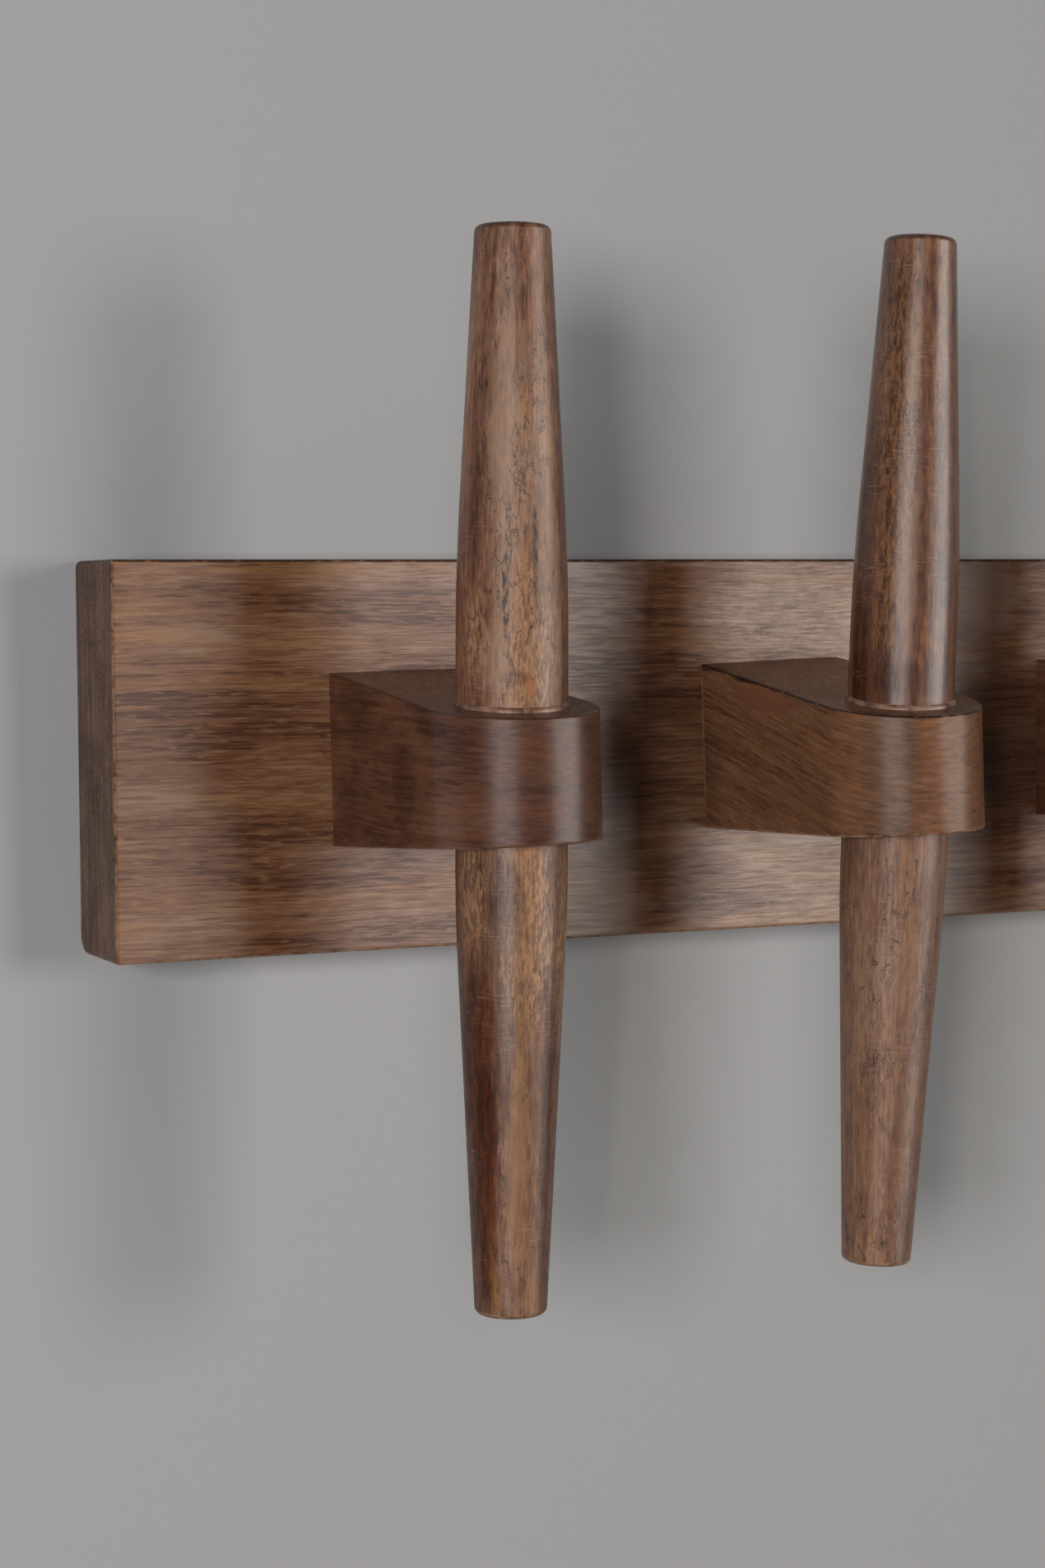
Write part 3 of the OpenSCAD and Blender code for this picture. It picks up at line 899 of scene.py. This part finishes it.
def lacquer_material():
    """Dried finish, thicker and so a little paler and glossier than the film on the timber."""
    material, tree = new_material("dried finish")
    place = add(tree, "TexCoord").outputs["Object"]
    cloud = noise(tree, place, 260.0)
    waves = noise(tree, place, 700.0)
    bump = add(tree, "Bump", {"Height": waves, "Strength": 0.4, "Distance": 0.2 * MM})
    thick = remap(tree, cloud, 0.35, 0.65)
    shader = add(
        tree,
        "BsdfPrincipled",
        {
            "Base Color": blend(tree, thick, (0.09, 0.042, 0.027, 1), (0.22, 0.125, 0.08, 1)),
            "Roughness": remap(tree, cloud, 0.3, 0.7, 0.22, 0.36),
            "Normal": bump.outputs["Normal"],
        },
    )
    finish_material(tree, shader)
    return material


def dress(piece, material):
    """Gives every face of a piece one material."""
    slots = piece.material_slots
    if len(slots) == 0:
        piece.data.materials.append(material)
    for slot in slots:
        slot.material = material


def dress_bracket(number):
    bracket = make_bracket(number)
    look = LIGHT_BRACKET_LOOK if number % 2 == 0 else DEEP_BRACKET_LOOK
    look = {**look, "stains": BRACKET_STAINS_AND_PAINTED_LIGHT.get(number, ())}
    root = (peg_x(number), -BOARD_T, 0.0)
    dress(bracket, timber_material(f"bracket timber {number}", look, root, 0.0, number))
    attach(bracket, "root")
    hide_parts(f"bracket_{number}")
    return bracket


def dress_peg(number):
    peg = make_peg(number)
    stains, films, finish_change = PEG_MARKS_AND_PAINTED_LIGHT[number]
    look = {**PEG_LOOK, **finish_change, "stains": stains, "films": films}
    middle = (peg_x(number), PEG_Y, PEG_Z)
    plank = FIRST_PEG_PLANK + number
    dress(peg, timber_material(f"peg timber {number}", look, middle, PEG_LEAN.get(number, 0.0), plank))
    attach(peg, "root")
    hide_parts(f"peg_{number}")
    return peg


def dress_bead(number, lacquer):
    bead = make_bead(number)
    dress(bead, lacquer)
    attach(bead, "root")
    return bead


def dress_screw(row, number, steel):
    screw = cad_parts[f"{row}_screw_{number}"]
    dress(screw, steel)
    return screw


def dress_rack():
    """Builds and dresses every piece. Gives back the board, and the pieces on it."""
    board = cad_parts["board"]
    shaped = []
    dress(board, timber_material("board timber", {**BOARD_LOOK, "stains": BOARD_STAINS_AND_PAINTED_LIGHT}))
    steel = steel_material()
    lacquer = lacquer_material()
    for number in range(1, PEG_COUNT + 1):
        shaped += [dress_bracket(number), dress_peg(number), dress_bead(number, lacquer)]
        shaped += [dress_screw(row, number, steel) for row in ("upper", "lower")]
    return board, shaped


# Stage

WALL_GAP = 0.3 * MM
WALL_REACH = 3.0
FLOOR_Z = -1.5
FLOOR_GLOW = 0.8


def wall_material():
    """Grey paint, clear from behind so that the back of the rack can be seen."""
    material, tree = new_material("wall paint")
    place = add(tree, "TexCoord").outputs["Object"]
    tone = noise(tree, place, 3.0, 3.0)
    roller = noise(tree, place, 260.0, 3.0)
    bump = add(tree, "Bump", {"Height": roller, "Strength": 0.08, "Distance": 1.0 * MM})
    paint = add(
        tree,
        "BsdfPrincipled",
        {
            "Base Color": blend(tree, tone, (0.321, 0.319, 0.32, 1), (0.33, 0.325, 0.319, 1)),
            "Roughness": 0.9,
            "Specular IOR Level": 0.2,
            "Normal": bump.outputs["Normal"],
        },
    )
    clear = add(tree, "BsdfTransparent")
    behind = add(tree, "NewGeometry").outputs["Backfacing"]
    both = add(tree, "MixShader", {0: behind, 1: paint.outputs[0], 2: clear.outputs[0]})
    finish_material(tree, both)
    return material


def floor_material():
    """Pale floor, seen pale also where the wall shades it, and clear from below."""
    material, tree = new_material("floor")
    place = add(tree, "TexCoord").outputs["Object"]
    tone = noise(tree, place, 2.0)
    color = blend(tree, tone, (0.48, 0.472, 0.46, 1), (0.52, 0.512, 0.5, 1))
    paint = add(tree, "BsdfPrincipled", {"Base Color": color, "Roughness": 0.8})
    glow = add(tree, "Emission", {"Color": color, "Strength": 1.0})
    seen = times(tree, add(tree, "LightPath").outputs["Is Camera Ray"], FLOOR_GLOW)
    pale = add(tree, "MixShader", {0: seen, 1: paint.outputs[0], 2: glow.outputs[0]})
    clear = add(tree, "BsdfTransparent")
    below = add(tree, "NewGeometry").outputs["Backfacing"]
    finish_material(tree, add(tree, "MixShader", {0: below, 1: pale.outputs[0], 2: clear.outputs[0]}))
    return material


def make_wall():
    """Plane behind the rack. It is open behind the board, where nothing shows from the room."""
    bm = bmesh.new()
    half_w = BOARD_W / 2 - BOARD_BACK_R
    half_h = BOARD_H / 2 - BOARD_BACK_R
    signs = ((-1, -1), (1, -1), (1, 1), (-1, 1))
    corners = [bm.verts.new((x * half_w, WALL_GAP, z * half_h)) for x, z in signs]
    edges = [bm.edges.new((corners[i], corners[(i + 1) % 4])) for i in range(4)]
    outer = bmesh.ops.extrude_edge_only(bm, edges=edges)
    for vert in verts_of(outer):
        vert.co.x = math.copysign(WALL_REACH, vert.co.x)
        vert.co.z = WALL_REACH if vert.co.z > 0 else FLOOR_Z
    for face in bm.faces:
        face.normal_update()
        if face.normal.y > 0:
            face.normal_flip()
    wall = finish_open(bm, "wall")
    dress(wall, wall_material())


def make_floor():
    bm = bmesh.new()
    down = Matrix.Translation((0, 0, FLOOR_Z))
    bmesh.ops.create_grid(bm, x_segments=1, y_segments=1, size=2 * WALL_REACH, matrix=down)
    floor = finish_open(bm, "floor")
    dress(floor, floor_material())


# Light and camera

LIT_POINT = Vector((-0.2, -0.08, 0.0))
LAMP_AWAY = 2.5
WHITE = (1.0, 1.0, 1.0)

# Azimuth from the wall's normal and elevation, half width and half height, all in degrees as the rack
# sees them, then level and colour. Level 1 lights a facing surface fully
SOFTBOXES = {
    "left softbox": ((-40, 5), (7.5, 7.5), 0.84, (0.99, 0.985, 1.0)),
    "right softbox": ((30.5, 5), (8, 7.5), 0.5, (1.0, 0.97, 0.93)),
    "back softbox": ((200, 25), (14, 14), 0.8, WHITE),
}

# The same for panels that show only as a reflection
BOARD_PANELS = {"board panel": ((30, -3), (8, 16), 0.67, WHITE)}
PIECE_PANELS = {
    "left panel": ((-34, 0), (15, 28), 0.6, (0.98, 0.985, 1.0)),
    "right panel": ((50, 0), (18, 28), 0.98, (1.0, 0.99, 0.97)),
}


def softbox(name, angles, spread, level, color, gloss_on=None):
    """Lamp that lights everything, or with gloss_on a panel that those pieces reflect."""
    azimuth, elevation = (math.radians(angle) for angle in angles)
    level_part = math.cos(elevation)
    toward = Vector((math.sin(azimuth) * level_part, -math.cos(azimuth) * level_part, math.sin(elevation)))
    lamp = bpy.data.lights.new(name, "AREA")
    lamp.shape = "RECTANGLE"
    lamp.size, lamp.size_y = (2 * LAMP_AWAY * math.tan(math.radians(half)) for half in spread)
    lamp.energy = level * (math.pi * LAMP_AWAY) ** 2
    lamp.color = color
    box = bpy.data.objects.new(name, lamp)
    bpy.context.scene.collection.objects.link(box)
    box.location = LIT_POINT + toward * LAMP_AWAY
    box.rotation_euler = toward.to_track_quat("Z", "Y").to_euler()
    box.visible_camera = False
    box.visible_diffuse = gloss_on is None
    box.visible_glossy = gloss_on is not None
    if gloss_on:
        box.light_linking.receiver_collection = bpy.data.collections.new(name)
        for piece in gloss_on:
            box.light_linking.receiver_collection.objects.link(piece)


def make_world():
    world = bpy.data.worlds.new("studio")
    bpy.context.scene.world = world
    world.use_nodes = True
    tree = world.node_tree
    tree.nodes.clear()
    camera = add(tree, "LightPath").outputs["Is Camera Ray"]
    dim = add(tree, "Background", {"Color": (0.9, 0.95, 1.0, 1), "Strength": 0.02})
    pale = add(tree, "Background", {"Color": (0.62, 0.61, 0.6, 1), "Strength": 1.0})
    both = add(tree, "MixShader", {0: camera, 1: dim.outputs[0], 2: pale.outputs[0]})
    output = tree.nodes.new("ShaderNodeOutputWorld")
    tree.links.new(both.outputs[0], output.inputs["Surface"])


# The photograph's camera, fitted to the edges of the board and the pegs. Yaw turns to +X, pitch looks up
# and roll turns clockwise. The lens is given in pixels of the photograph, which is 1906 high
CAMERA_PLACE = (-0.5998, -0.8779, 0.0485)
CAMERA_YAW = math.radians(24.468)
CAMERA_PITCH = math.radians(-3.646)
CAMERA_ROLL = math.radians(-0.342)
LENS_PX = 3584
PHOTO_H_PX = 1906
SENSOR = 36.0


def make_camera():
    yaw, pitch, roll = CAMERA_YAW, CAMERA_PITCH, CAMERA_ROLL
    data = bpy.data.cameras.new("camera")
    data.sensor_width = SENSOR
    data.lens = SENSOR * LENS_PX / PHOTO_H_PX
    camera = bpy.data.objects.new("camera", data)
    bpy.context.scene.collection.objects.link(camera)
    ahead = Vector((math.sin(yaw) * math.cos(pitch), math.cos(yaw) * math.cos(pitch), math.sin(pitch)))
    right = Vector((math.cos(yaw), -math.sin(yaw), 0.0))
    up = right.cross(ahead)
    right_rolled = right * math.cos(roll) + up * math.sin(roll)
    up_rolled = up * math.cos(roll) - right * math.sin(roll)
    turn = Matrix((right_rolled, up_rolled, -ahead)).transposed()
    camera.matrix_world = Matrix.Translation(CAMERA_PLACE) @ turn.to_4x4()
    bpy.context.scene.camera = camera


make_camera()
make_world()
make_wall()
make_floor()
board, shaped = dress_rack()
for lamps, gloss_on in ((SOFTBOXES, None), (BOARD_PANELS, [board]), (PIECE_PANELS, shaped)):
    for name, lamp in lamps.items():
        softbox(name, *lamp, gloss_on)

bpy.context.scene.view_settings.view_transform = "Standard"
